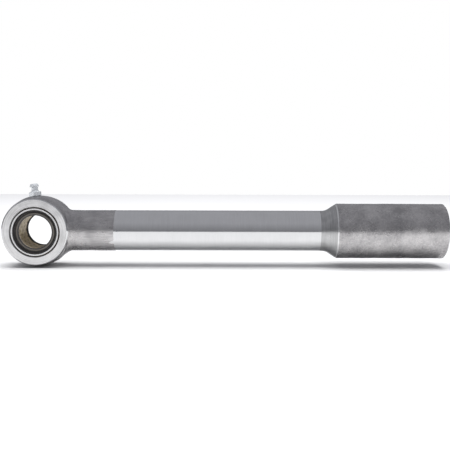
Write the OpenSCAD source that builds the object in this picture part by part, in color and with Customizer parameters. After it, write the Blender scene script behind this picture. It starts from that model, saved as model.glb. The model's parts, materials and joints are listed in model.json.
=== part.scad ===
// Tie rod end with a bushed, sealed eye at one end and a threaded socket at the other.
// Millimetres. The origin is the centre of the eye bore. The eye bore runs along Y,
// the rod runs along +X to the mouth of the socket, and the grease nipple is on top (+Z).

/* [Eye] */
// Outside diameter of the eye at its parting line
eye_d = 52.2; // [51:0.1:55]
// Width of the eye between its two machined faces
eye_w = 32; // [31:0.5:34]
// Forging draft of the eye's outside, in degrees
eye_draft = 7; // [3:0.5:8]
// Width of the trimmed flash land around the parting line
flash_w = 3; // [2:0.5:4]
// Forged radius on the eye's outside edges
edge_radius = 2.9; // [2.7:0.1:3.5]
// How much of that radius is left below each machined face
edge_left = 2.15; // [1.6:0.05:2.6]

/* [Bush and seals] */
// Bore of the bush, which takes the pin
pin_bore_d = 25; // [24:0.5:25.5]
// Outside diameter of the bush, and of its housing
bush_od = 28; // [27.5:0.5:28.5]
// Length of the bush
bush_len = 20; // [18:0.5:21]
// Thickness of the sliding layer bonded inside the steel backing
lining_t = 0.4; // [0.3:0.05:0.5]
// Width of the butt joint where the bush was rolled up from strip
bush_slit = 0.3; // [0.2:0.05:0.4]
// Outside diameter of each seal
seal_od = 36; // [34:0.5:36.5]
// Depth of the seal recess in each face
seal_recess = 5.2; // [5:0.1:5.5]
// Depth that each seal case stands back from the machined face
seal_setback = 0.35; // [0.3:0.05:0.5]
// Sheet thickness of the seal case
case_t = 1.5; // [1.2:0.1:1.6]

/* [Rod] */
// Diameter of the ground shank
shank_d = 30; // [29:0.5:31]
// Diameter of the rough neck between the eye and the shank
neck_d = 30.1; // [28.5:0.1:31]
// Fillet radius where the neck runs into the eye
neck_fillet = 7.5; // [6:0.5:9]
// Distance from the eye's centre to the start of the ground shank
shank_x = 56.8; // [50:0.2:60]
// Distance from the eye's centre to the foot of the shoulder cone
cone_x = 209.6; // [205:0.1:215]
// Length of the shoulder cone
cone_len = 10.5; // [10:0.1:13]
// Fillet radius at the foot of the shoulder cone
cone_fillet = 9; // [8:0.5:11]
// Angle at which that fillet runs out into the cone, in degrees
cone_angle = 33; // [28:1:34]

/* [Socket] */
// Outside diameter of the socket
socket_d = 40.3; // [39:0.1:42]
// Distance from the eye's centre to the socket's end face
rod_len = 300; // [295:1:310]
// Nominal diameter of the internal thread
thread_d = 27; // [26:1:28]
// Pitch of the internal thread
thread_pitch = 1.5; // [1.25:0.25:2]
// Threaded depth from the end face
thread_len = 60; // [50:1:64]
// Chamfer on the socket's outside end
socket_chamfer = 1; // [0.5:0.1:1.5]

/* [Grease nipple] */
// Lean of the nipple away from the rod, in degrees
nipple_lean = 6; // [0:1:10]
// Distance of the nipple's seat from the bore axis
seat_r = 25.6; // [25.3:0.1:25.8]
// Across-flats size of the nipple's hexagon
hex_af = 8; // [7:0.5:8]
// Height of the hexagon
hex_h = 3.1; // [2.6:0.1:3.4]
// Outside diameter of the nipple's thread
nipple_thread_d = 6; // [5.5:0.5:6.5]
// Length of the nipple's thread
nipple_thread_len = 5.5; // [5:0.1:5.8]
// Diameter of the coupling head
head_d = 6.5; // [6.3:0.1:6.6]
// Height of the nipple above its seat
nipple_h = 9.2; // [9:0.1:9.6]
// Diameter of the check ball
ball_d = 2.5; // [2.4:0.1:2.5]
// Wire diameter of the check spring
wire_d = 0.35; // [0.3:0.05:0.4]
// Number of turns in the check spring
spring_turns = 9; // [7:1:10]

/* [Hidden] */
$fn = 96;

// How far a cutting tool runs past the surface that it opens
over = 1;

eye_r = eye_d / 2;
half_w = eye_w / 2;
flash_half = flash_w / 2;
edge_y = half_w - edge_left;
edge_r = eye_r - (edge_y - flash_half) * tan(eye_draft);
edge_angle = asin(edge_left / edge_radius);

housing_r = bush_od / 2;
lining_r = pin_bore_d / 2 + lining_t;
bush_chamfer = 0.6;
slit_angle = -50;
seal_r = seal_od / 2;
mouth_chamfer = 0.5;
case_len = seal_recess - seal_setback;
case_flange_r = 14.4;
case_flange_t = 1;
case_edge = 0.5;
lip_r = pin_bore_d / 2 + 0.1;

shank_r = shank_d / 2;
neck_r = neck_d / 2;
blend_half_w = half_w - 1.2;
blend_x = sqrt(pow(eye_r + neck_fillet, 2) - pow(neck_r + neck_fillet, 2));

socket_r = socket_d / 2;
shoulder_x = cone_x + cone_len;
shoulder_land = 0.8;
shoulder_step = 0.12;
minor_r = (thread_d - 1.0825 * thread_pitch) / 2;
drill_r = minor_r - 0.2;
drill_len = thread_len + 6;
drill_point_len = drill_r * tan(31);
thread_mouth_r = thread_d / 2 + 0.4;

port_r = nipple_thread_d / 2;
port_depth = nipple_thread_len + 0.5;
spot_face_r = 6;
grease_way_r = 1.5;
grease_hole_r = 2;
neck_waist_r = 2.5;
head_r = head_d / 2;
head_h = 3.3;
head_top_r = 1.9;
ball_r = ball_d / 2;
nipple_mouth_r = 1.05;
chamber_r = 1.5;
chamber_top = nipple_h - 1.2;
seat_gap = 0.037;
ball_z = chamber_top + chamber_r - (ball_r + seat_gap) * sqrt(2);
curl_r = 1.1;
curl_h = 0.6;
coil_r = 1;
spring_foot = curl_h - nipple_thread_len + wire_d / 2 + 0.05;
spring_head = ball_z - ball_r - wire_d / 2;

// Point on an arc about a centre, with its own radius along each axis
function arc_point(centre, rx, ry, a) = [centre[0] + rx * cos(a), centre[1] + ry * sin(a)];
// Points along such an arc from angle a to angle b
function arc(centre, rx, ry, a, b, n) =
    [for (i = [0:n]) arc_point(centre, rx, ry, a + (b - a) * i / n)];

// Turns a shape modelled along Z so that it lies along the eye bore (Y)
module along_y() {
    rotate([-90, 0, 0]) children();
}

// Turns a shape modelled along Z so that it lies along the rod (X)
module along_x() {
    rotate([0, 90, 0]) children();
}

// Places a shape on the nipple's axis, with z = 0 at the nipple's seat
module on_nipple_axis() {
    rotate([0, -nipple_lean, 0]) translate([0, 0, seat_r]) children();
}

// ---- rod forging ----

// Forged eye: drafted outside with a trimmed flash land, and rounded edges that the
// machined faces cut through
module eye_blank() {
    upper = concat(
        [[0, half_w]],
        arc([edge_r - edge_radius, edge_y], edge_radius, edge_radius, edge_angle, 0, 5),
        [[eye_r, flash_half]]);
    lower = [for (i = [len(upper) - 1:-1:0]) [upper[i][0], -upper[i][1]]];
    along_y() rotate_extrude() polygon(concat(upper, lower));
}

// Fillet between the round neck and the eye, held back from the machined faces
module eye_blend() {
    fillet = arc([blend_x, neck_r + neck_fillet], neck_fillet, neck_fillet, -132, -90, 8);
    intersection() {
        along_x() rotate_extrude() rotate([0, 0, 90])
            mirror([0, 1, 0])
                polygon(concat([[0, 0], [0, fillet[0][1]]], fillet, [[blend_x, 0]]));
        cube([2 * blend_x + over, 2 * blend_half_w, eye_d], center = true);
    }
}

// Round neck, ground shank, shoulder cone and socket as one turned outline along X
module rod_blank() {
    foot = arc([cone_x, shank_r + cone_fillet], cone_fillet, cone_fillet,
               -90, cone_angle - 90, 6);
    outline = concat(
        [[0, 0], [0, neck_r], [shank_x, neck_r], [shank_x + 0.2, shank_r]],
        foot,
        [[shoulder_x, socket_r - shoulder_step],
         [shoulder_x + shoulder_land, socket_r - shoulder_step],
         [shoulder_x + shoulder_land + shoulder_step, socket_r],
         [rod_len - socket_chamfer, socket_r],
         [rod_len, socket_r - socket_chamfer],
         [rod_len, 0]]);
    along_x() rotate_extrude() rotate([0, 0, 90]) mirror([0, 1, 0]) polygon(outline);
}

// Bush housing, with a recess and a small lead-in for the seal at each face
module eye_bore() {
    along_y() {
        cylinder(r = housing_r, h = eye_w + 2 * over, center = true);
        for (side = [0, 1]) mirror([0, 0, side]) translate([0, 0, half_w]) {
            translate([0, 0, -seal_recess]) cylinder(r = seal_r, h = seal_recess + over);
            translate([0, 0, -mouth_chamfer])
                cylinder(r1 = seal_r, r2 = seal_r + mouth_chamfer + over, h = mouth_chamfer + over);
        }
    }
}

// Tapped socket: drilled, bored to the thread's minor diameter, and given a lead-in
module socket_bore() {
    translate([rod_len, 0, 0]) rotate([0, -90, 0]) {
        cylinder(r = drill_r, h = drill_len);
        translate([0, 0, drill_len]) cylinder(r1 = drill_r, r2 = 0, h = drill_point_len);
        translate([0, 0, -over]) cylinder(r = minor_r, h = thread_len + over);
        translate([0, 0, -over])
            cylinder(r1 = thread_mouth_r + over, r2 = minor_r, h = thread_mouth_r - minor_r + over);
    }
}

// Spot face, tapped port and grease way from the nipple's seat down to the bush
module nipple_port() {
    on_nipple_axis() {
        cylinder(r = spot_face_r, h = 3 * over);
        translate([0, 0, -port_depth]) cylinder(r = port_r, h = port_depth + over);
        translate([0, 0, -seat_r + housing_r / 2]) cylinder(r = grease_way_r, h = seat_r - housing_r / 2);
    }
}

module rod_forging() {
    color("#7b7b7e") difference() {
        union() {
            eye_blank();
            eye_blend();
            rod_blank();
        }
        eye_bore();
        socket_bore();
        nipple_port();
    }
}

// ---- bush ----

// Sleeve rolled from strip: a butt joint along its length and a grease hole at the nipple
module rolled_sleeve(inner_r, outer_r, inner_chamfer, outer_chamfer) {
    half = bush_len / 2;
    wall = [[inner_r + inner_chamfer, -half], [outer_r - outer_chamfer, -half],
            [outer_r, -half + 2 * outer_chamfer], [outer_r, half - 2 * outer_chamfer],
            [outer_r - outer_chamfer, half], [inner_r + inner_chamfer, half],
            [inner_r, half - inner_chamfer], [inner_r, inner_chamfer - half]];
    difference() {
        along_y() rotate_extrude() polygon(wall);
        rotate([0, slit_angle, 0]) translate([0, -bush_len, -bush_slit / 2])
            cube([2 * outer_r, 2 * bush_len, bush_slit]);
        rotate([0, -nipple_lean, 0]) cylinder(r = grease_hole_r, h = 2 * outer_r);
    }
}

module bush_backing() {
    color("#a9a39a") rolled_sleeve(lining_r, housing_r, 0.1, bush_chamfer);
}

module bush_lining() {
    color("#85754f") rolled_sleeve(pin_bore_d / 2, lining_r, 0.3, 0.05);
}

// ---- seals ----

// Section of the seal case: a rolled outer edge, a wall and an inward flange at its foot
function case_section() = concat(
    [[seal_r - case_t, case_flange_t], [case_flange_r, case_flange_t], [case_flange_r, 0],
     [seal_r - case_edge, 0], [seal_r, case_edge]],
    arc([seal_r - case_edge, case_len - case_edge], case_edge, case_edge, 0, 90, 4),
    arc([seal_r - case_t + case_edge, case_len - case_edge], case_edge, case_edge, 90, 180, 4));

// Section of the rubber: bonded to the case wall, with a valley and a lip around the pin
function lip_section() =
    [[seal_r - case_t, case_flange_t], [seal_r - case_t, case_len - 0.8],
     [seal_r - case_t - 0.45, case_len - 0.7], [seal_r - case_t - 1.1, case_len - 2.15],
     [lip_r + 1.5, case_len - 2.45], [lip_r + 0.3, case_len - 1.95],
     [lip_r, case_len - 2.2], [lip_r + 0.2, case_len - 2.9],
     [lip_r + 1, case_flange_t + 0.3], [case_flange_r, case_flange_t]];

// Revolves a seal section in the recess of the rear face (side 0) or the front face (side 1)
module seal_ring(section, side) {
    along_y() mirror([0, 0, side]) translate([0, 0, half_w - seal_recess])
        rotate_extrude() polygon(section);
}

module front_seal_case() {
    color("#c9c9c6") seal_ring(case_section(), 1);
}

module front_seal_lip() {
    color("#1d1c1e") seal_ring(lip_section(), 1);
}

module rear_seal_case() {
    color("#c9c9c6") seal_ring(case_section(), 0);
}

module rear_seal_lip() {
    color("#1d1c1e") seal_ring(lip_section(), 0);
}

// ---- grease nipple ----

// Turned outside of the nipple above its hexagon: waist, and a rounded coupling head
module nipple_crown() {
    head_foot = nipple_h - head_h;
    rotate_extrude() polygon(concat(
        [[0, hex_h - 0.5], [hex_af / 2 - 0.6, hex_h - 0.5], [hex_af / 2 - 0.6, hex_h + 0.05],
         [neck_waist_r, hex_h + 0.9], [neck_waist_r, head_foot - 0.1],
         [head_r - 0.35, head_foot + 0.55]],
        arc([0, head_foot + 0.75], head_r, nipple_h - head_foot - 0.75, 8, 52, 6),
        [[head_top_r, nipple_h], [0, nipple_h]]));
}

module nipple_body() {
    color("#b9bab8") on_nipple_axis() difference() {
        union() {
            intersection() {
                rotate([0, 0, 30]) cylinder(r = hex_af / sqrt(3), h = hex_h, $fn = 6);
                rotate_extrude() polygon([[0, 0], [hex_af / 2 - 0.1, 0], [hex_af / 2 + 0.7, 0.5],
                                          [hex_af / 2 + 0.7, hex_h - 0.5],
                                          [hex_af / 2 - 0.1, hex_h], [0, hex_h]]);
            }
            nipple_crown();
            rotate_extrude() polygon([[0, -nipple_thread_len], [port_r - 0.5, -nipple_thread_len],
                                      [port_r, 0.5 - nipple_thread_len], [port_r, 0.2], [0, 0.2]]);
        }
        translate([0, 0, chamber_top]) cylinder(r = nipple_mouth_r, h = nipple_h);
        rotate_extrude() polygon([[0, curl_h - nipple_thread_len],
                                  [chamber_r, curl_h - nipple_thread_len],
                                  [chamber_r, chamber_top],
                                  [nipple_mouth_r, chamber_top + chamber_r - nipple_mouth_r],
                                  [0, chamber_top + chamber_r - nipple_mouth_r]]);
        translate([0, 0, -nipple_thread_len - over]) cylinder(r = curl_r, h = curl_h + 2 * over);
    }
}

module nipple_ball() {
    color("#d6d6d6") on_nipple_axis() translate([0, 0, ball_z]) sphere(r = ball_r);
}

// Check spring: a round wire swept along a helix, one ring of points at a time
module nipple_spring() {
    sides = 8;
    rings_per_turn = 12;
    rings = rings_per_turn * spring_turns;
    rise = (spring_head - spring_foot) / rings;
    points = [for (i = [0:rings]) let (a = i * 360 / rings_per_turn)
        for (k = [0:sides - 1]) let (
            b = k * 360 / sides,
            r = coil_r + wire_d / 2 * cos(b))
        [r * cos(a), r * sin(a), spring_foot + rise * i + wire_d / 2 * sin(b)]];
    walls = [for (i = [0:rings - 1]) for (k = [0:sides - 1])
        let (n = (k + 1) % sides)
        [i * sides + k, (i + 1) * sides + k, (i + 1) * sides + n, i * sides + n]];
    first_cap = [for (k = [0:sides - 1]) k];
    last_cap = [for (k = [sides - 1:-1:0]) rings * sides + k];
    color("#9a9a9c") on_nipple_axis()
        polyhedron(points = points, faces = concat(walls, [first_cap, last_cap]));
}

rod_forging();
bush_backing();
bush_lining();
front_seal_case();
front_seal_lip();
rear_seal_case();
rear_seal_lip();
nipple_body();
nipple_ball();
nipple_spring();
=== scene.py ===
"""Looks of the tie rod end: a forging with a bushed, sealed eye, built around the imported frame."""

import json
import math

import bmesh
import bpy
import numpy as np
from mathutils import Matrix, Vector, noise


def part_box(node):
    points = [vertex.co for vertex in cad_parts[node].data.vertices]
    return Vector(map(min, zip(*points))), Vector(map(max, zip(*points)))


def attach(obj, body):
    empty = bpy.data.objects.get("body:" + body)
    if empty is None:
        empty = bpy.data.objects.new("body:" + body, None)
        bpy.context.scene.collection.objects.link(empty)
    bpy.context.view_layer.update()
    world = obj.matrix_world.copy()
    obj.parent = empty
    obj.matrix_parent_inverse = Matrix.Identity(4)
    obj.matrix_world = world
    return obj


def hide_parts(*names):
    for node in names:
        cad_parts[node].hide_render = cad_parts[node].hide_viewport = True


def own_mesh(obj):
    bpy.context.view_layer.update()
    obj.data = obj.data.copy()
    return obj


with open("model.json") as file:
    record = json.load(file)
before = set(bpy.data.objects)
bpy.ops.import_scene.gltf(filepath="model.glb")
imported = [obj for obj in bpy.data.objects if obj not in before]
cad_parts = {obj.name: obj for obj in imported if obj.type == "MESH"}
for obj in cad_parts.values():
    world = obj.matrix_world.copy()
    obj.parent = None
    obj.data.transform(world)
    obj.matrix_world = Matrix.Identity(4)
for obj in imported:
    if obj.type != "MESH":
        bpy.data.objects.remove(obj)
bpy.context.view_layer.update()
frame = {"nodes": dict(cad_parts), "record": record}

# ---- sizes, in millimetres ----
# Mesh code works in millimetres. add_piece() turns a finished mesh into metres.
MM = 0.001


def box_mm(node):
    """Lowest and highest corner of a CAD node, in millimetres."""
    low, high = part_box(node)
    return Vector(low) / MM, Vector(high) / MM


MOUNTS = {m["name"]: m for m in frame["record"]["mounts"]}
ROD_LOW, ROD_HIGH = box_mm("rod_forging")
EYE_R = -ROD_LOW.x
END_X = ROD_HIGH.x
SOCKET_R = ROD_HIGH.y
HALF_W = MOUNTS["rear_face"]["pos_m"][1] / MM
PIN_R = MOUNTS["eye_bore"]["dims"]["r_mm"]
MINOR_R = MOUNTS["socket_thread"]["dims"]["r_mm"]
THREAD_LEN = 60.0
BUSH_HIGH = box_mm("bush_backing")[1]
BUSH_R = BUSH_HIGH.z
BUSH_HALF = BUSH_HIGH.y
LINING_R = box_mm("bush_lining")[1].z
CASE_LOW, CASE_HIGH = box_mm("rear_seal_case")
SEAL_R = CASE_HIGH.z
CASE_FOOT = CASE_LOW.y
CASE_TOP = CASE_HIGH.y
NIPPLE_AXIS = Vector(MOUNTS["nipple_head"]["axis"])

# Forged eye
FLASH_HALF = 1.5
DRAFT = math.radians(7)
EDGE_RADIUS = 2.9
EDGE_LEFT = 2.15
DRESSED_RIM = 0.7
# Neck and shank. The fillet into the eye tightens towards each face, where it also runs out
# farther, and the neck is a little wider than it is high next to the eye
NECK_R = 15.08
NECK_FILLET = 4.6
NECK_FILLET_AT_FACE = 1.8
FACE_FILLET_STRETCH = 1.5
NECK_FLATTENING = 0.055
SHANK_R = 15.0
SHANK_X = 56.8
GROUND_SLOPE = 0.22
CUT_SPOT = {"x": 54.2, "angle": math.radians(30), "long": 2.4, "wide": 1.3, "rise": 0.75}
# Shoulder cone
CONE_X = 209.6
CONE_FILLET = 9.0
CONE_ANGLE = math.radians(33)
GROUND_END = 207.9
TURNED_END = 220.1
LAND_LEN = 0.9
# Socket. Its rough skin stands a little above the nominal radius
SOCKET_SKIN = 0.05
SOCKET_CHAMFER = 1.0
PITCH = 1.5
MAJOR_R = MINOR_R + 1.0825 / 2 * PITCH
MOUTH_R = MAJOR_R + 0.4
# The drilled hole beyond the thread, a little narrower than the thread's core
DRILL_R = MINOR_R - 0.2
DRILL_EXTRA = 6.0
# Nipple, measured along its own axis from its seat
SEAT_R = 25.6
HEX_FLAT = 4.0
NIPPLE_H = 9.2
NIPPLE_THREAD_R = 3.0
NIPPLE_THREAD_LEN = 5.5

# Where the eye's mesh is joined to the rod's, the eye's mesh size, the number of points around
# the rod, and how close two points are before they count as one
JOIN_X = 44.0
EYE_VOXEL = 0.6
AROUND = 160
WELD = 5e-4


# ---- mesh helpers ----

def rounded(corners, steps=5):
    """A closed outline of (x, y, radius) corners, each turned into an arc of that radius."""
    outline = []
    for i, (x, y, radius) in enumerate(corners):
        here = np.array([x, y])
        back = np.array(corners[i - 1][:2]) - here
        on = np.array(corners[(i + 1) % len(corners)][:2]) - here
        if radius <= 0:
            outline.append(here)
            continue
        back_dir = back / np.linalg.norm(back)
        on_dir = on / np.linalg.norm(on)
        half = math.acos(float(np.clip(back_dir @ on_dir, -1, 1))) / 2
        reach = min(radius / math.tan(half), 0.49 * np.linalg.norm(back),
                    0.49 * np.linalg.norm(on))
        start, end = here + back_dir * reach, here + on_dir * reach
        for t in np.linspace(0, 1, steps + 1):
            outline.append((1 - t) ** 2 * start + 2 * t * (1 - t) * here + t ** 2 * end)
    return np.array(outline)


def loop_faces(rows, columns, close_rows, close_columns):
    """Quads of a grid of points, which may close on itself in either direction."""
    i, j = np.meshgrid(np.arange(rows if close_rows else rows - 1),
                       np.arange(columns if close_columns else columns - 1), indexing="ij")
    i2, j2 = (i + 1) % rows, (j + 1) % columns
    quads = [i * columns + j, i2 * columns + j, i2 * columns + j2, i * columns + j2]
    return np.stack(quads, -1).reshape(-1, 4).tolist()


def mesh_object(name, points, faces):
    """A linked mesh object in millimetres, with its normals turned outward."""
    mesh = bpy.data.meshes.new(name)
    mesh.from_pydata([tuple(p) for p in points], [], faces)
    bm = bmesh.new()
    bm.from_mesh(mesh)
    bmesh.ops.remove_doubles(bm, verts=bm.verts, dist=WELD)
    bmesh.ops.dissolve_degenerate(bm, edges=bm.edges, dist=WELD)
    bmesh.ops.recalc_face_normals(bm, faces=bm.faces)
    bm.to_mesh(mesh)
    bm.free()
    obj = bpy.data.objects.new(name, mesh)
    bpy.context.scene.collection.objects.link(obj)
    return obj


def apply_modifiers(obj):
    """Bakes an object's modifiers into its mesh."""
    evaluated = obj.evaluated_get(bpy.context.evaluated_depsgraph_get())
    mesh = bpy.data.meshes.new_from_object(evaluated)
    obj.modifiers.clear()
    obj.data = mesh
    return obj


def cut(obj, *cutters):
    """Subtracts closed cutters from a closed mesh, and removes the cutters."""
    for cutter in cutters:
        modifier = obj.modifiers.new("cut", "BOOLEAN")
        modifier.operation = "DIFFERENCE"
        modifier.solver = "MANIFOLD"
        modifier.object = cutter
        before = len(obj.data.vertices)
        apply_modifiers(obj)
        if len(obj.data.vertices) == before:
            raise RuntimeError(f"{cutter.name} did not cut {obj.name}")
        bpy.data.objects.remove(cutter)
    return obj


def add_piece(obj, nodes, materials, body="rod", sharp=32):
    """Turns a finished mesh into metres and puts it on its body, in place of its CAD nodes."""
    obj.data.transform(Matrix.Scale(MM, 4))
    obj.data.materials.clear()
    for material in materials:
        obj.data.materials.append(material)
    obj.data.shade_smooth()
    obj.data.set_sharp_from_angle(angle=math.radians(sharp))
    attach(obj, body)
    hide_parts(*nodes)
    return obj


def around_y(section, segments, gap=None):
    """Points and faces of a closed (radius, y) section revolved about the eye bore.
    With gap = (middle, width), both in radians, the ring stays open there and is capped."""
    if gap is None:
        angles = np.arange(segments) / segments * math.tau
    else:
        angles = gap[0] + np.linspace(gap[1] / 2, math.tau - gap[1] / 2, segments)
    radius, y = section[:, 0][None, :], section[:, 1][None, :]
    points = np.stack([radius * np.cos(angles)[:, None], y + 0 * angles[:, None],
                       radius * np.sin(angles)[:, None]], -1).reshape(-1, 3)
    faces = loop_faces(segments, len(section), gap is None, True)
    if gap is not None:
        last = (segments - 1) * len(section)
        faces.append(list(range(len(section))))
        faces.append([last + k for k in reversed(range(len(section)))])
    return points, faces


def nipple_frame():
    """Turns a shape along Z with its zero at the nipple's seat into the nipple's place."""
    lean = math.atan2(-NIPPLE_AXIS.x, NIPPLE_AXIS.z)
    return Matrix.Rotation(-lean, 4, "Y") @ Matrix.Translation((0, 0, SEAT_R))


def cylinder(name, radius, low, high, place, segments=96):
    """A closed cylinder along Z between two heights, then moved by place."""
    angles = np.arange(segments) / segments * math.tau
    points = [(radius * math.cos(a), radius * math.sin(a), z) for z in (low, high) for a in angles]
    faces = loop_faces(2, segments, False, True)
    faces += [list(range(segments)), list(range(segments, 2 * segments))]
    obj = mesh_object(name, points, faces)
    obj.data.transform(place)
    return obj


# ---- rod forging ----

def bumps(points, sizes):
    """Smooth noise at each point: the sum over (size in mm, height in mm) pairs."""
    total = np.zeros(len(points))
    for k, (size, height) in enumerate(sizes):
        shift = Vector((17.3 * k, 5.1, -9.7 * k))
        total += height * np.array([noise.noise(Vector(p) / size + shift) for p in points])
    return total


SKIN = ((14.0, 0.16), (5.0, 0.07), (2.2, 0.03))


def round_union(a, b, radius):
    """Union of two distance fields with a fillet of that radius between them."""
    corner = np.hypot(np.maximum(radius - a, 0), np.maximum(radius - b, 0))
    return np.maximum(radius, np.minimum(a, b)) - corner


def round_intersection(a, b, radius):
    """Intersection of two distance fields with the edge between them rounded."""
    corner = np.hypot(np.maximum(radius + a, 0), np.maximum(radius + b, 0))
    return np.minimum(-radius, np.maximum(a, b)) + corner


def smooth_step(value, low, high):
    """Rises smoothly from 0 at low to 1 at high."""
    share = np.clip((value - low) / (high - low), 0, 1)
    return share * share * (3 - 2 * share)


def blank_field(p):
    """Distance from the forged blank of the eye and neck, before it is machined."""
    rho, across = np.hypot(p[:, 0], p[:, 2]), np.abs(p[:, 1])
    drafted = (rho - EYE_R) * math.cos(DRAFT) + (across - FLASH_HALF) * math.sin(DRAFT)
    side = round_intersection(rho - EYE_R, drafted, 0.8)
    face = across - (HALF_W - EDGE_LEFT + EDGE_RADIUS)
    eye = round_intersection(side, face, EDGE_RADIUS)
    flattened = 1 + NECK_FLATTENING * (1 - smooth_step(p[:, 0], 28, 42))
    neck = np.maximum(np.hypot(p[:, 1] * flattened, p[:, 2]) - NECK_R, -p[:, 0])
    near_face = smooth_step(across, 8, 13.5)
    fillet = NECK_FILLET + (NECK_FILLET_AT_FACE - NECK_FILLET) * near_face
    return round_union(eye / (1 + FACE_FILLET_STRETCH * near_face), neck, fillet)


def onto_blank(points, rounds=8):
    """Moves points onto the blank's surface. Returns them with their normals."""
    step = 0.02
    for _ in range(rounds):
        value = blank_field(points)
        slope = np.stack([blank_field(points + step * axis) - blank_field(points - step * axis)
                          for axis in np.eye(3)], -1) / (2 * step)
        steepness = np.maximum((slope ** 2).sum(1), 0.05)
        points = points - slope * (value / steepness)[:, None]
    return points, slope / np.sqrt(steepness)[:, None]


def remeshed(obj, voxel):
    """Rebuilds a closed mesh as even quads."""
    modifier = obj.modifiers.new("voxels", "REMESH")
    modifier.mode = "VOXEL"
    modifier.voxel_size = voxel
    return apply_modifiers(obj)


def points_of(mesh):
    """A mesh's points, one row each."""
    flat = np.empty(3 * len(mesh.vertices), np.float32)
    mesh.vertices.foreach_get("co", flat)
    return flat.reshape(-1, 3).astype(float)


def set_points(mesh, points):
    """Moves a mesh's points to new places, one row each."""
    mesh.vertices.foreach_set("co", points.astype(np.float32).ravel())
    mesh.update()


def eye_blank():
    """Forged eye and neck as an even mesh, with a fillet, draft and a rough skin."""
    blank_half = HALF_W - EDGE_LEFT + EDGE_RADIUS
    rough = cylinder("rough_eye", EYE_R, -blank_half, blank_half,
                     Matrix.Rotation(math.pi / 2, 4, "X"))
    neck = cylinder("rough_neck", NECK_R, 0, JOIN_X + 4, Matrix.Rotation(math.pi / 2, 4, "Y"))
    join = rough.modifiers.new("join", "BOOLEAN")
    join.operation = "UNION"
    join.solver = "MANIFOLD"
    join.object = neck
    apply_modifiers(rough)
    bpy.data.objects.remove(neck)
    for voxel in (1.2, EYE_VOXEL):
        remeshed(rough, voxel)
        points, normals = onto_blank(points_of(rough.data))
        set_points(rough.data, points)
    rise = bumps(points, SKIN)
    set_points(rough.data, points + normals * rise[:, None])
    return rough


def bar_radius(x, angle):
    """Radius of the forged bar before it is ground."""
    return NECK_R + bumps(np.stack([x, NECK_R * np.cos(angle), NECK_R * np.sin(angle)], -1), SKIN)


def ground_depth(x, angle):
    """How deep the wheel has cut: above 0 on the shank and on a high spot just before it."""
    spot = CUT_SPOT
    off = (angle - spot["angle"]) % math.tau - math.pi
    away = np.hypot((x - spot["x"]) / spot["long"], NECK_R * off / spot["wide"])
    high = spot["rise"] * np.exp(-away ** 2)
    return (x - SHANK_X) * GROUND_SLOPE + bar_radius(x, angle) - NECK_R + high


def outside_stations():
    """(x, radius, kind) along the outside, from the neck to the end face. bar is forged bar
    that the wheel has partly cut, turned is smooth, and skin is rough."""
    stations = [(x, NECK_R, "bar") for x in np.arange(JOIN_X + 0.5, SHANK_X - 5, 0.6)]
    stations += [(x, NECK_R, "bar") for x in np.arange(SHANK_X - 5, SHANK_X + 3, 0.3)]
    stations += [(x, SHANK_R, "turned") for x in np.linspace(SHANK_X + 4, GROUND_END - 0.3, 26)]
    stations += [(GROUND_END, SHANK_R, "turned"),
                 (GROUND_END + 0.15, SHANK_R - 0.05, "turned"),
                 (GROUND_END + 0.5, SHANK_R - 0.05, "turned"),
                 (GROUND_END + 0.65, SHANK_R, "turned"), (CONE_X, SHANK_R, "turned")]
    for a in np.linspace(0, CONE_ANGLE, 9)[1:]:
        stations.append((CONE_X + CONE_FILLET * math.sin(a),
                         SHANK_R + CONE_FILLET * (1 - math.cos(a)), "turned"))
    foot_x, foot_r, _ = stations[-1]
    slope = math.tan(CONE_ANGLE)
    stations += [(x, foot_r + (x - foot_x) * slope, "turned")
                 for x in np.linspace(foot_x, TURNED_END - LAND_LEN, 5)[1:]]
    turned_r = foot_r + (TURNED_END - foot_x) * slope
    stations += [(TURNED_END - LAND_LEN + 0.1, turned_r - LAND_LEN * slope - 0.03, "turned"),
                 (TURNED_END, turned_r - 0.07, "turned"),
                 (TURNED_END + 0.12, min(turned_r + 0.08, SOCKET_R - 0.25), "skin"),
                 (TURNED_END + 0.6, SOCKET_R, "skin")]
    stations += [(x, SOCKET_R, "skin")
                 for x in np.linspace(TURNED_END + 1.4, END_X - SOCKET_CHAMFER, 84)]
    stations += [(END_X - 0.5 * SOCKET_CHAMFER, SOCKET_R - 0.55 * SOCKET_CHAMFER, "turned"),
                 (END_X - 0.05, SOCKET_R - SOCKET_CHAMFER, "turned"),
                 (END_X, SOCKET_R - SOCKET_CHAMFER - 0.1, "turned"),
                 (END_X, MOUTH_R + 0.1, "turned")]
    return stations


def outside_rings():
    """Points of the outside, one closed ring for each station."""
    angles = np.arange(AROUND) / AROUND * math.tau
    rings = []
    for x, radius, kind in outside_stations():
        at = np.full(AROUND, float(x))
        radii = np.full(AROUND, float(radius))
        if kind == "bar":
            bar = bar_radius(at, angles)
            radii = np.where(ground_depth(at, angles) > 0, SHANK_R, bar)
        if kind == "skin":
            place = np.stack([at, radius * np.cos(angles), radius * np.sin(angles)], -1)
            radii = radii + SOCKET_SKIN + bumps(place, SKIN)
        rings.append(np.stack([at, radii * np.cos(angles), radii * np.sin(angles)], -1))
    return rings


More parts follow.
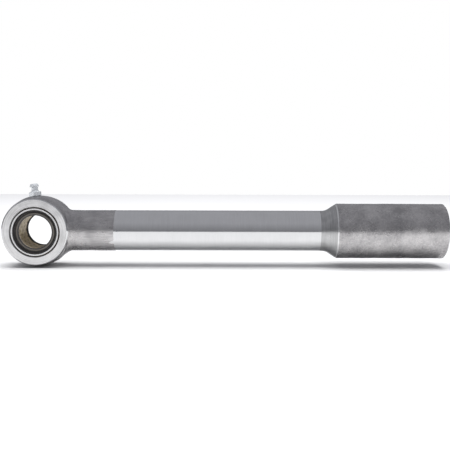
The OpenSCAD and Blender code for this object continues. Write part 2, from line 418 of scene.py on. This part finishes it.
def thread_rings():
    """Points of the tapped hole: helical lines at the crests and roots, clamped at the ends."""
    angles = np.arange(AROUND + 1) / AROUND * math.tau
    inner_x = END_X - THREAD_LEN
    profile = [(0.0, MINOR_R), (0.2, MINOR_R), (0.5, MAJOR_R), (0.7, MAJOR_R)]
    turns = int(THREAD_LEN / PITCH) + 2
    lines = []
    for turn in range(turns):
        for share, radius in profile:
            x = END_X + PITCH * (1 - turn - share - angles / math.tau)
            fade = np.clip((x - inner_x) / (3 * PITCH), 0, 1)
            radii = MINOR_R + (radius - MINOR_R) * fade
            x = np.clip(x, inner_x, END_X)
            radii = np.maximum(radii, MOUTH_R - (END_X - x))
            lines.append(np.stack([x, radii * np.cos(angles), radii * np.sin(angles)], -1))
    return lines


def rod_tube():
    """Neck end, shank, cone, socket, thread and drill point as one open-ended mesh."""
    rings = outside_rings()
    points = np.concatenate(rings)
    faces = loop_faces(len(rings), AROUND, False, True)
    lines = thread_rings()
    base = len(points)
    faces += [[base + i for i in f] for f in loop_faces(len(lines), AROUND + 1, False, False)]
    last_outside = base - AROUND
    for k in range(AROUND):
        n = (k + 1) % AROUND
        faces.append([last_outside + k, last_outside + n, base + k + 1, base + k])
    points = np.concatenate([points] + lines)
    angles = np.arange(AROUND) / AROUND * math.tau
    drill_x = END_X - THREAD_LEN - DRILL_EXTRA
    tip_x = drill_x - DRILL_R * math.tan(math.radians(31))
    step, foot_ring = (np.stack([np.full(AROUND, x), DRILL_R * np.cos(angles),
                                 DRILL_R * np.sin(angles)], -1)
                       for x in (END_X - THREAD_LEN, drill_x))
    last_line = len(points) - AROUND - 1
    first = len(points)
    foot = first + AROUND
    tip = foot + AROUND
    points = np.concatenate([points, step, foot_ring, [[tip_x, 0, 0]]])
    for k in range(AROUND):
        n = (k + 1) % AROUND
        faces.append([last_line + k, last_line + k + 1, first + n, first + k])
        faces.append([first + k, first + n, foot + n, foot + k])
        faces.append([foot + k, foot + n, tip])
    return mesh_object("rod_tube", points, faces)


def open_loop(bm, x, tolerance):
    """Boundary edges that lie in the plane at x."""
    return [e for e in bm.edges if e.is_boundary
            and all(abs(v.co.x - x) < tolerance for v in e.verts)]


def machine_faces(bm):
    """Cuts the blank flat at both faces and open at the join with the tube."""
    def slice_off(point, normal):
        geometry = bm.verts[:] + bm.edges[:] + bm.faces[:]
        return bmesh.ops.bisect_plane(bm, geom=geometry, dist=1e-4, plane_co=point,
                                      plane_no=normal, clear_outer=True)["geom_cut"]
    for side in (-1, 1):
        rim = slice_off((0, side * HALF_W, 0), (0, side, 0))
        bmesh.ops.edgeloop_fill(bm, edges=[g for g in rim if isinstance(g, bmesh.types.BMEdge)])
    slice_off((JOIN_X, 0, 0), (1, 0, 0))


def bore_cutter():
    """Cutter for the bush housing, with a seal recess and a lead-in at each face."""
    lead = 0.5
    half = [(0, HALF_W + 1), (SEAL_R + lead + 1, HALF_W + 1), (SEAL_R, HALF_W - lead),
            (SEAL_R, CASE_FOOT), (BUSH_R, CASE_FOOT)]
    section = half + [(r, -y) for r, y in reversed(half)]
    rings = np.array(section[1:-1])
    points, faces = around_y(rings, 192)
    count = len(rings)
    faces = [f for f in faces if {f[0] % count, f[2] % count} != {0, count - 1}]
    faces.append([k * count for k in range(192)])
    faces.append([k * count + count - 1 for k in range(192)])
    return mesh_object("bore_cutter", points, faces)


def surface_kinds(mesh):
    """Material index of each face: 0 skin and shank, 1 faced, 2 turned, 3 bored, 4 land."""
    centres = np.empty(3 * len(mesh.polygons), np.float32)
    mesh.polygons.foreach_get("center", centres)
    x, y, z = centres.reshape(-1, 3).T
    rod_r, eye_ring = np.hypot(y, z), np.hypot(x, z)
    kinds = np.zeros(len(x), np.int32)
    kinds[(x > GROUND_END) & (x < TURNED_END)] = 2
    kinds[(x > TURNED_END - LAND_LEN) & (x < TURNED_END)] = 4
    kinds[(x > END_X - SOCKET_CHAMFER) & (rod_r > MOUTH_R)] = 2
    kinds[(x > CONE_X) & (rod_r < MOUTH_R + 0.02)] = 3
    kinds[(eye_ring < SEAL_R + 0.7) & (np.abs(y) < HALF_W - 0.001)] = 3
    kinds[(x < JOIN_X) & (np.abs(y) > HALF_W - 0.001)] = 1
    along = x * NIPPLE_AXIS.x + z * NIPPLE_AXIS.z
    kinds[(np.abs(along - SEAT_R) < 0.01) & (np.abs(y) < 7)] = 2
    return kinds


def mark_cut_depth(mesh):
    """Stores on each point how deep it was cut: above 0 where the steel is bare and bright,
    on the shank and on the dressed rim beside each face of the eye."""
    x, y, z = points_of(mesh).T
    depth = ground_depth(x, np.arctan2(z, y))
    depth = np.where(x > SHANK_X + 3.5, 0.3, depth)
    depth = np.where(x > TURNED_END, -1.0, depth)
    on_eye = (x < JOIN_X) & (np.hypot(x, z) > SEAL_R + 2)
    depth = np.where(on_eye, np.abs(y) - (HALF_W - DRESSED_RIM), depth)
    cut_depth = mesh.attributes.new("cut_depth", "FLOAT", "POINT")
    cut_depth.data.foreach_set("value", depth.astype(np.float32))


def rod_forging(materials):
    """The whole forging as one closed mesh."""
    eye, tube = eye_blank(), rod_tube()
    bm = bmesh.new()
    bm.from_mesh(eye.data)
    machine_faces(bm)
    bm.from_mesh(tube.data)
    edges = open_loop(bm, JOIN_X, 0.01) + open_loop(bm, JOIN_X + 0.5, 0.01)
    bmesh.ops.bridge_loops(bm, edges=edges)
    bmesh.ops.recalc_face_normals(bm, faces=bm.faces)
    mesh = bpy.data.meshes.new("forging")
    bm.to_mesh(mesh)
    bm.free()
    for part in (eye, tube):
        bpy.data.objects.remove(part)
    obj = bpy.data.objects.new("forging", mesh)
    bpy.context.scene.collection.objects.link(obj)
    place = nipple_frame()
    cut(obj, bore_cutter(), cylinder("spot", 6.0, 0, 4, place),
        cylinder("port", NIPPLE_THREAD_R, -NIPPLE_THREAD_LEN - 0.5, 1, place),
        cylinder("grease_way", 1.5, 8 - SEAT_R, 1, place, 32))
    kinds = surface_kinds(obj.data)
    mark_cut_depth(obj.data)
    add_piece(obj, ["rod_forging"], materials)
    obj.data.polygons.foreach_set("material_index", kinds)
    return obj


# ---- bush ----

SLIT = (math.radians(50), 0.3 / PIN_R)
POCKET_ROWS = (-8.0, -4.0, 0.0, 4.0, 8.0)
POCKETS_AROUND = 14
POCKET_R = 1.15
POCKET_DEPTH = 0.24


def grease_hole(radius=2.0):
    """Cutter for the hole that leads grease from the nipple through the bush."""
    return cylinder("grease_hole", radius, 8, BUSH_R + 2, nipple_frame()
                    @ Matrix.Translation((0, 0, -SEAT_R)), 48)


def pocket_depth(angle, y):
    """Depth of the grease pockets pressed into the sliding layer."""
    depth = np.zeros(np.broadcast(angle, y).shape)
    pitch = math.tau / POCKETS_AROUND
    for row, row_y in enumerate(POCKET_ROWS):
        off = (angle - row % 2 * pitch / 2 + pitch / 2) % pitch - pitch / 2
        away = np.hypot(off * PIN_R, y - row_y) / POCKET_R
        depth = np.maximum(depth, POCKET_DEPTH * np.clip(1.25 * (1 - away ** 2), 0, 1))
    return depth


def bush_backing(material):
    """Steel sleeve rolled from strip, with a butt joint and a grease hole."""
    h, c = BUSH_HALF, 0.6
    section = rounded([(LINING_R, -h, 0), (BUSH_R - c, -h, 0.15), (BUSH_R, -h + 2 * c, 0.4),
                       (BUSH_R, h - 2 * c, 0.4), (BUSH_R - c, h, 0.15), (LINING_R, h, 0)], 4)
    obj = cut(mesh_object("bush_shell", *around_y(section, 192, SLIT)), grease_hole())
    return add_piece(obj, ["bush_backing"], [material])


def bush_lining(material):
    """Sliding layer with rows of grease pockets."""
    h, c, long = BUSH_HALF, 0.36, 0.9
    inner = [(PIN_R + c, -h), (PIN_R, -h + long)]
    inner += [(PIN_R, y) for y in np.linspace(-h + long + 0.2, h - long - 0.2, 64)]
    inner += [(PIN_R, h - long), (PIN_R + c, h)]
    section = np.array(inner + [(LINING_R, h), (LINING_R, -h)])
    points, faces = around_y(section, 288, SLIT)
    radius, angle = np.hypot(points[:, 0], points[:, 2]), np.arctan2(points[:, 2], points[:, 0])
    sliding = radius < PIN_R + 0.01
    grown = radius + np.where(sliding, pocket_depth(angle, points[:, 1]), 0)
    points[:, 0], points[:, 2] = grown * np.cos(angle), grown * np.sin(angle)
    obj = cut(mesh_object("bush_layer", points, faces), grease_hole())
    return add_piece(obj, ["bush_lining"], [material])


# ---- seals ----

LIP_R = 11.95
CASE_FLANGE_R = 14.4
CASE_WALL = 1.85
CASE_ROLL = 0.75


def seal(side, case_material, rubber):
    """Pressed steel case and rubber lip of one seal. side is 1 at the rear, -1 at the front."""
    name = {1: "rear", -1: "front"}[side]
    wall, foot, top, flange = SEAL_R - CASE_WALL, CASE_FOOT, CASE_TOP, CASE_FLANGE_R
    case = rounded([(flange, foot, 0.25), (SEAL_R, foot, 0.9), (SEAL_R, top - 0.9, 0.4),
                    (SEAL_R - 0.3, top - 0.25, 0.3), (SEAL_R - CASE_ROLL, top, 0.25),
                    (wall, top, 0.2), (wall, foot + 1, 0), (flange, foot + 1, 0.3)], 6)
    lip = rounded([(wall, foot + 1, 0), (wall, top - 0.5, 0), (wall - 0.2, top - 0.3, 0.12),
                   (wall - 0.5, top - 1.0, 0.3), (wall - 0.9, top - 2.9, 0.6),
                   (14.5, top - 2.9, 0.4), (14.0, top - 2.0, 0.3), (13.3, top - 1.7, 0.35),
                   (12.35, top - 1.9, 0.15), (LIP_R, top - 2.25, 0.12), (12.9, top - 3.4, 0.5),
                   (13.4, foot + 1, 0.4), (flange, foot + 1, 0)], 6)
    for section, part, slot, material in ((case, "case", "seal_case", case_material),
                                          (lip, "lip", "seal_rubber", rubber)):
        points, faces = around_y(section, 224)
        points[:, 1] *= side
        obj = mesh_object(f"{name}_seal_{part}_ring", points, faces)
        add_piece(obj, [f"{name}_seal_{part}"], [material], sharp=50)


# ---- grease nipple ----

def nipple_body(material):
    """Turned nipple with a chamfered hexagon, a waist and a coupling head, bored for its ball."""
    section = rounded([
        (1.1, -NIPPLE_THREAD_LEN, 0.08), (2.5, -NIPPLE_THREAD_LEN, 0.3), (3.0, -5.0, 0.1),
        (3.0, -0.05, 0), (3.9, 0.0, 0.05), (4.75, 0.45, 0.1), (4.75, 2.65, 0.1),
        (3.85, 3.1, 0.12), (3.25, 3.16, 0.1), (2.55, 3.95, 0.4), (2.5, 5.8, 0.3),
        (2.95, 6.3, 0.2), (3.27, 6.85, 0.3), (3.2, 7.7, 0.5), (2.6, 8.85, 0.5),
        (1.9, NIPPLE_H, 0.15), (1.05, NIPPLE_H, 0.06), (1.05, 8.45, 0), (1.5, 8.0, 0),
        (1.5, -4.9, 0), (1.1, -4.9, 0.05)], 4)
    dense = []
    for start, end in zip(section, np.roll(section, -1, axis=0)):
        chamfer = start[0] > 3.2 and 0 < start[1] < 3.2
        steps = max(1, int(np.linalg.norm(end - start) / (0.12 if chamfer else 0.6)))
        dense += [start + (end - start) * k / steps for k in range(steps)]
    dense = np.array(dense)
    segments = 144
    angles = np.arange(segments) / segments * math.tau
    flat = HEX_FLAT / np.cos((angles + math.pi / 6) % (math.pi / 3) - math.pi / 6)
    radius = np.minimum(dense[:, 0][None, :], flat[:, None])
    points = np.stack([radius * np.cos(angles)[:, None], radius * np.sin(angles)[:, None],
                       dense[:, 1][None, :] + 0 * radius], -1).reshape(-1, 3)
    obj = mesh_object("nipple_turned", points, loop_faces(segments, len(dense), True, True))
    obj.data.transform(nipple_frame())
    return add_piece(obj, ["nipple_body"], [material], sharp=28)


SPRING_TURNS = 9
WIRE_R = 0.175
COIL_R = 1.0
SPRING_FOOT = -4.675
SPRING_HEAD = 6.255


def nipple_spring(material):
    """Check spring with closed ends, in a mesh of its own."""
    sides, per_turn = 12, 28
    count = SPRING_TURNS * per_turn
    turn = np.linspace(0, SPRING_TURNS, count + 1)
    coils = SPRING_TURNS - 1.5
    length = SPRING_HEAD - SPRING_FOOT
    closed = 2.05 * WIRE_R
    climb = np.interp(turn, [0, 0.75, SPRING_TURNS - 0.75, SPRING_TURNS],
                      [0, 0.75 * closed, length - 0.75 * closed, length])
    points = []
    for t, z in zip(turn, climb):
        for k in range(sides):
            b = k / sides * math.tau
            r = COIL_R + WIRE_R * math.cos(b)
            points.append((r * math.cos(t * math.tau), r * math.sin(t * math.tau),
                           SPRING_FOOT + z + WIRE_R * math.sin(b)))
    faces = loop_faces(count + 1, sides, False, True)
    faces += [list(range(sides)), [count * sides + k for k in reversed(range(sides))]]
    obj = mesh_object("nipple_coil", points, faces)
    place = nipple_frame()
    obj.data.transform(place)
    add_piece(obj, ["nipple_spring"], [material])
    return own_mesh(obj)


# ---- materials ----

def new_material(name, **sockets):
    """A material, its node tree and its shader, with constant values set on the shader."""
    material = bpy.data.materials.new(name)
    material.use_nodes = True
    tree = material.node_tree
    shader = tree.nodes["Principled BSDF"]
    for socket, value in sockets.items():
        shader.inputs[socket.replace("_", " ")].default_value = value
    return material, tree, shader


def add_node(tree, kind, inputs, **settings):
    """Adds a node. inputs maps socket names or numbers to values or to other sockets."""
    made = tree.nodes.new(kind)
    for key, value in settings.items():
        setattr(made, key, value)
    for key, value in inputs.items():
        if isinstance(value, bpy.types.NodeSocket):
            tree.links.new(value, made.inputs[key])
        else:
            made.inputs[key].default_value = value
    return made


def place_of(tree, stretch=(1, 1, 1)):
    """The point on the object in metres, stretched along each axis."""
    point = add_node(tree, "ShaderNodeTexCoord", {}).outputs["Object"]
    scaled = add_node(tree, "ShaderNodeVectorMath", {0: point, 1: stretch}, operation="MULTIPLY")
    return scaled.outputs[0]


def grain(tree, size, detail=2.0, stretch=(1, 1, 1), seed=0.0):
    """Noise of a given size in millimetres, from 0 to 1."""
    return add_node(tree, "ShaderNodeTexNoise",
                    {"Vector": place_of(tree, stretch), "W": seed, "Scale": 1 / (size * MM),
                     "Detail": detail}, noise_dimensions="4D").outputs["Fac"]


def remap(tree, value, low, high, new_low, new_high):
    """Value moved from one range to another, and kept inside it."""
    return add_node(tree, "ShaderNodeMapRange",
                    {"Value": value, "From Min": low, "From Max": high,
                     "To Min": new_low, "To Max": new_high}).outputs["Result"]


def blend_value(tree, factor, a, b):
    """The number a where factor is 0, and b where it is 1."""
    return add_node(tree, "ShaderNodeMix", {0: factor, 2: a, 3: b}).outputs[0]


def blend_colour(tree, factor, a, b):
    """The colour a where factor is 0, and b where it is 1."""
    return add_node(tree, "ShaderNodeMix", {0: factor, 6: a, 7: b}, data_type="RGBA").outputs[2]


def combine(tree, operation, a, b):
    """Result of a maths operation on two numbers."""
    return add_node(tree, "ShaderNodeMath", {0: a, 1: b}, operation=operation).outputs[0]


def bump(tree, height, depth, strength=1.0, normal=None):
    """Bump from a 0 to 1 height that stands for depth in millimetres."""
    inputs = {"Height": height, "Distance": depth * MM, "Strength": strength}
    if normal is not None:
        inputs["Normal"] = normal
    return add_node(tree, "ShaderNodeBump", inputs).outputs["Normal"]


def grey(value, warmth=0.0):
    """A metal colour: a brightness, and how far it leans to warm (or to cool, below 0)."""
    return (value * (1 + warmth), value, value * (1 - warmth), 1.0)


def across_eye(tree):
    """Distance from the eye bore's axis in metres, and the direction out from it."""
    split = add_node(tree, "ShaderNodeSeparateXYZ", {0: place_of(tree)}).outputs
    flat = add_node(tree, "ShaderNodeCombineXYZ", {0: split[0], 2: split[2]}).outputs[0]
    away = add_node(tree, "ShaderNodeVectorMath", {0: flat}, operation="LENGTH").outputs[1]
    out = add_node(tree, "ShaderNodeVectorMath", {0: flat}, operation="NORMALIZE").outputs[0]
    return away, out


def lay_round_eye(tree, pitch, length, seed=0.0):
    """Fine marks that run in circles about the eye bore, 0 to 1. Sizes are in millimetres."""
    away, out = across_eye(tree)
    spread = add_node(tree, "ShaderNodeVectorMath", {0: out, "Scale": 20 / length},
                      operation="SCALE").outputs[0]
    step = combine(tree, "DIVIDE", away, pitch * MM)
    lift = add_node(tree, "ShaderNodeCombineXYZ", {1: step}).outputs[0]
    point = add_node(tree, "ShaderNodeVectorMath", {0: spread, 1: lift}).outputs[0]
    return add_node(tree, "ShaderNodeTexNoise", {"Vector": point, "W": seed, "Scale": 1.0,
                                                 "Detail": 3.0},
                    noise_dimensions="4D").outputs["Fac"]


def lay_along(tree, axis, pitch, length, seed=0.0):
    """Fine marks that run across an axis, as a turning tool leaves them, 0 to 1."""
    squeeze = {"X": (1, pitch / length, pitch / length), "Y": (pitch / length, 1, pitch / length)}
    return grain(tree, pitch, 3, stretch=squeeze[axis], seed=seed)


def rod_skin():
    """Shot-blasted forging skin, and bright ground steel where the wheel has cut it."""
    material, tree, shader = new_material("rod_skin", Metallic=1.0)
    along = add_node(tree, "ShaderNodeSeparateXYZ", {0: place_of(tree)}).outputs[0]
    on_neck = combine(tree, "MULTIPLY", remap(tree, along, 28 * MM, 36 * MM, 0, 1),
                      remap(tree, along, 60 * MM, 70 * MM, 1, 0))
    broad, patch = grain(tree, 15.0, 3), grain(tree, 6.0, 3, seed=3.0)
    speck, grit = grain(tree, 1.1, 2, seed=5.0), grain(tree, 0.45, 1, seed=8.0)
    streak = grain(tree, 0.8, 3, stretch=(0.12, 1, 1), seed=9.0)
    fine = blend_value(tree, on_neck, speck, streak)
    tone = combine(tree, "ADD", combine(tree, "MULTIPLY", broad, 0.6),
                   combine(tree, "MULTIPLY", fine, 0.4))
    skin_colour = blend_colour(tree, remap(tree, tone, 0.39, 0.61, 0, 1),
                               (0.325, 0.317, 0.321, 1), (0.54, 0.527, 0.525, 1))
    skin_rough = remap(tree, patch, 0.3, 0.7, 0.25, 0.33)
    skin_normal = bump(tree, fine, 0.07, 0.9, bump(tree, grit, 0.07, 1.0))
    lay = grain(tree, 0.5, 2, stretch=(1, 0.04, 0.04), seed=2.0)
    worn = combine(tree, "ADD", combine(tree, "MULTIPLY", lay, 0.5),
                   combine(tree, "MULTIPLY", broad, 0.5))
    ground_colour = blend_colour(tree, remap(tree, worn, 0.35, 0.65, 0, 1),
                                 grey(0.63, -0.004), grey(0.69, -0.004))
    ground_rough = remap(tree, worn, 0.35, 0.65, 0.08, 0.13)
    depth = add_node(tree, "ShaderNodeAttribute", {}, attribute_name="cut_depth").outputs["Fac"]
    ragged = combine(tree, "ADD", depth, combine(tree, "MULTIPLY", grain(tree, 1.0), 0.06))
    cut_here = remap(tree, ragged, 0.03, 0.09, 0, 1)
    normal = add_node(tree, "ShaderNodeNewGeometry", {}).outputs["Normal"]
    mixed = add_node(tree, "ShaderNodeMix", {0: cut_here, 4: skin_normal, 5: normal},
                     data_type="VECTOR").outputs[1]
    links = {"Base Color": blend_colour(tree, cut_here, skin_colour, ground_colour),
             "Roughness": blend_value(tree, cut_here, skin_rough, ground_rough),
             "Normal": mixed}
    for socket, source in links.items():
        tree.links.new(source, shader.inputs[socket])
    return material


def tooled_steel(name, marks_of, dark, light, rough, depth, patches=7.0, warmth=0.0):
    """Bare steel with fine tool marks. marks_of makes the marks in a node tree."""
    material, tree, shader = new_material(name, Metallic=1.0)
    marks, cloud = marks_of(tree), grain(tree, patches, 3)
    tone = combine(tree, "ADD", combine(tree, "MULTIPLY", cloud, 0.5),
                   combine(tree, "MULTIPLY", marks, 0.5))
    colour = blend_colour(tree, remap(tree, tone, 0.38, 0.62, 0, 1), grey(dark, warmth),
                          grey(light, warmth))
    tree.links.new(colour, shader.inputs["Base Color"])
    tree.links.new(remap(tree, cloud, 0.3, 0.7, rough - 0.04, rough + 0.04),
                   shader.inputs["Roughness"])
    tree.links.new(bump(tree, marks, depth, 0.9), shader.inputs["Normal"])
    return material


def turned_steel(name, axis, pitch, dark, light, rough, depth):
    """Steel turned about an axis, with marks at a pitch in millimetres."""
    return tooled_steel(name, lambda tree: lay_along(tree, axis, pitch, 25.0), dark, light,
                        rough, depth)


def round_eye_steel(name, pitch, dark, light, rough, depth, patches=6.0, warmth=0.0):
    """Steel whose tool marks run in circles about the eye bore."""
    return tooled_steel(name, lambda tree: lay_round_eye(tree, pitch, 14.0), dark, light,
                        rough, depth, patches, warmth)


def case_steel():
    """Bright drawn steel with painted shade, dark and brownish, in the gap round its outer edge."""
    material = round_eye_steel("case_steel", 0.25, 0.58, 0.72, 0.26, 0.006, 3.0)
    tree = material.node_tree
    shader = tree.nodes["Principled BSDF"]
    away, _ = across_eye(tree)
    ragged_away = combine(tree, "ADD", away, combine(tree, "MULTIPLY", grain(tree, 1.2), 0.3 * MM))
    painted_gap_shade = remap(tree, ragged_away, (SEAL_R - CASE_ROLL) * MM,
                   (SEAL_R - CASE_ROLL + 0.25) * MM, 0, 1)
    clean = shader.inputs["Base Color"].links[0].from_socket
    # Painted shade: the case's outer edge, where it meets the housing, is painted dark brown and
    # made rougher, with a ragged border.
    tree.links.new(blend_colour(tree, painted_gap_shade, clean, (0.100, 0.076, 0.062, 1)),
                   shader.inputs["Base Color"])
    tree.links.new(remap(tree, painted_gap_shade, 0, 1, 0.26, 0.5), shader.inputs["Roughness"])
    return material


def zinc():
    """Bright zinc plate, a little cloudy and bluish."""
    material, tree, shader = new_material("zinc", Metallic=0.6)
    cloud, fine = grain(tree, 2.5, 3), grain(tree, 0.4, 2, seed=2.0)
    tree.links.new(blend_colour(tree, remap(tree, cloud, 0.35, 0.65, 0, 1),
                                (0.76, 0.79, 0.81, 1), (0.92, 0.945, 0.96, 1)),
                   shader.inputs["Base Color"])
    tree.links.new(remap(tree, fine, 0.3, 0.7, 0.2, 0.34), shader.inputs["Roughness"])
    tree.links.new(bump(tree, fine, 0.015, 0.6), shader.inputs["Normal"])
    return material


def rubber():
    """Black nitrile rubber with a faint moulded grain, and a pale ring painted on the crest as a
    highlight.
    """
    material, tree, shader = new_material("rubber", Metallic=0.0)
    mottle, fine = grain(tree, 5.0, 2), grain(tree, 0.35, 2, seed=6.0)
    plain = blend_colour(tree, mottle, (0.030, 0.028, 0.028, 1), (0.062, 0.058, 0.056, 1))
    away, _ = across_eye(tree)
    edge = combine(tree, "ADD", away, combine(tree, "MULTIPLY", mottle, 0.6 * MM))
    # Painted highlight: a pale ring on the lip's crest, with a ragged edge.
    painted_crest_highlight = combine(tree, "MULTIPLY", remap(tree, edge, 13.1 * MM, 13.5 * MM, 0, 1),
                     remap(tree, edge, 13.9 * MM, 14.7 * MM, 1, 0))
    tree.links.new(blend_colour(tree, painted_crest_highlight, plain, (0.165, 0.150, 0.130, 1)),
                   shader.inputs["Base Color"])
    tree.links.new(remap(tree, mottle, 0.3, 0.7, 0.28, 0.48), shader.inputs["Roughness"])
    tree.links.new(bump(tree, fine, 0.02, 0.5), shader.inputs["Normal"])
    return material


def sliding_layer():
    """Olive-bronze layer, stained brown in places, with metal bared on its end chamfers, which are
    painted pale, partly for the bared metal and partly as a painted highlight.
    """
    material, tree, shader = new_material("sliding_layer", Metallic=0.2)
    cloud, fine = grain(tree, 4.0, 3), grain(tree, 0.5, 2, seed=1.0)
    stain = remap(tree, grain(tree, 1.6, 2, seed=12.0), 0.62, 0.72, 0, 0.6)
    colour = blend_colour(tree, remap(tree, cloud, 0.35, 0.65, 0, 1),
                          (0.345, 0.258, 0.118, 1), (0.44, 0.345, 0.172, 1))
    stained = blend_colour(tree, stain, colour, (0.120, 0.065, 0.028, 1))
    away, _ = across_eye(tree)
    across = add_node(tree, "ShaderNodeSeparateXYZ", {0: place_of(tree)}).outputs[1]
    depth = add_node(tree, "ShaderNodeMath", {0: across}, operation="ABSOLUTE").outputs[0]
    # Painted shade: the sunk grease pockets are painted dark brown.
    pocket_shade = remap(tree, away, (PIN_R + 0.03) * MM, (PIN_R + 0.2) * MM, 0, 0.8)
    with_pocket_shade = blend_colour(tree, pocket_shade, stained, (0.085, 0.055, 0.028, 1))
    # Partly bared metal and partly a painted highlight: the end chamfers are painted pale.
    bared_and_painted_glint = remap(tree, depth, (BUSH_HALF - 0.92) * MM, (BUSH_HALF - 0.88) * MM, 0, 1)
    tree.links.new(blend_colour(tree, bared_and_painted_glint, with_pocket_shade, (0.66, 0.58, 0.47, 1)),
                   shader.inputs["Base Color"])
    tree.links.new(remap(tree, fine, 0.3, 0.7, 0.38, 0.5), shader.inputs["Roughness"])
    tree.links.new(bump(tree, fine, 0.01, 0.5), shader.inputs["Normal"])
    return material


def pale_floor():
    """Matt white table top."""
    material, tree, shader = new_material("pale_floor", Roughness=0.9)
    tree.links.new(blend_colour(tree, grain(tree, 90.0, 2), grey(0.84), grey(0.86)),
                   shader.inputs["Base Color"])
    return material


# ---- stage, light and camera ----

CAMERA_AT = Vector((0.13780, -0.5425, 0.0530))
CAMERA_PITCH = math.radians(5.14)
CAMERA_ROLL = math.radians(0.15)
LENS = 58.552
SENSOR = 36.0
FLOOR_GAP = 0.0003
TABLE_HALF = 1.1


def floor():
    """A table top under the eye, which is the lowest part of the object."""
    half, z = TABLE_HALF, ROD_LOW.z * MM - FLOOR_GAP
    corners = [(-half, -half, z), (half, -half, z), (half, half, z), (-half, half, z)]
    mesh = bpy.data.meshes.new("floor")
    mesh.from_pydata(corners, [], [(0, 1, 2, 3)])
    obj = bpy.data.objects.new("floor", mesh)
    bpy.context.scene.collection.objects.link(obj)
    obj.data.materials.append(pale_floor())


# Brightness of the soft dome at the walls and overhead, and how high up the walls end: 0 is
# the horizon and 1 is straight up
WALL_LIGHT = 0.26
CEILING_LIGHT = 0.46
WALL_TOP = 0.75
DOME_TINT = (0.957, 0.965, 1.03, 1.0)
# A large softbox that hangs level over the table
SOFTBOX_AT = (0.14, -0.1, 1.8)
SOFTBOX_SIZE = 1.8
SOFTBOX_WATTS = 47.0


def softbox():
    """One large soft light from above, out of the metal's reflections: metal mirrors the
    table that it lights."""
    data = bpy.data.lights.new("softbox", "AREA")
    data.shape = "SQUARE"
    data.size = SOFTBOX_SIZE
    data.energy = SOFTBOX_WATTS
    obj = bpy.data.objects.new("softbox", data)
    obj.location = SOFTBOX_AT
    obj.visible_camera = False
    obj.visible_glossy = False
    bpy.context.scene.collection.objects.link(obj)


def dome():
    """A plain soft dome, a little brighter overhead, before a white backdrop."""
    world = bpy.data.worlds.new("dome")
    bpy.context.scene.world = world
    world.use_nodes = True
    tree = world.node_tree
    way = add_node(tree, "ShaderNodeSeparateXYZ",
                   {0: add_node(tree, "ShaderNodeTexCoord", {}).outputs["Generated"]}).outputs
    soft = tree.nodes["Background"]
    soft.inputs["Color"].default_value = DOME_TINT
    strength = remap(tree, way[2], 0, WALL_TOP, WALL_LIGHT, CEILING_LIGHT)
    tree.links.new(strength, soft.inputs["Strength"])
    backdrop = add_node(tree, "ShaderNodeBackground", {"Color": (1, 1, 1, 1)})
    seen = add_node(tree, "ShaderNodeLightPath", {}).outputs["Is Camera Ray"]
    both = add_node(tree, "ShaderNodeMixShader", {0: seen, 1: soft.outputs[0],
                                                  2: backdrop.outputs[0]})
    tree.links.new(both.outputs[0], tree.nodes["World Output"].inputs["Surface"])


def camera():
    """The camera, which looks along +Y and a little down, with plain display colours."""
    data = bpy.data.cameras.new("camera")
    data.sensor_width = SENSOR
    data.lens = LENS
    data.clip_start, data.clip_end = 0.01, 20
    obj = bpy.data.objects.new("camera", data)
    obj.location = CAMERA_AT
    obj.rotation_euler = (math.pi / 2 - CAMERA_PITCH, -CAMERA_ROLL, 0)
    scene = bpy.context.scene
    scene.collection.objects.link(obj)
    scene.camera = obj
    scene.view_settings.view_transform = "Standard"


# ---- build ----

faced = round_eye_steel("faced_steel", 0.6, 0.60, 0.84, 0.33, 0.02, 8.0, 0.006)
turned = turned_steel("turned_steel", "X", 0.5, 0.36, 0.52, 0.24, 0.02)
bored = turned_steel("bored_steel", "Y", 0.3, 0.30, 0.40, 0.34, 0.02)
land = turned_steel("land_steel", "X", 0.3, 0.68, 0.76, 0.16, 0.004)
rod_forging([rod_skin(), faced, turned, bored, land])
bush_backing(turned_steel("backing_steel", "Y", 0.6, 0.44, 0.54, 0.33, 0.01))
bush_lining(sliding_layer())
case, black_rubber = case_steel(), rubber()
for side in (-1, 1):
    seal(side, case, black_rubber)
nipple_body(zinc())
nipple_spring(turned_steel("spring_wire", "X", 0.4, 0.36, 0.46, 0.28, 0.004))
ball = frame["nodes"]["nipple_ball"]
ball.data.materials.clear()
ball.data.materials.append(round_eye_steel("ball_steel", 0.2, 0.70, 0.76, 0.12, 0.001))

floor()
softbox()
dome()
camera()
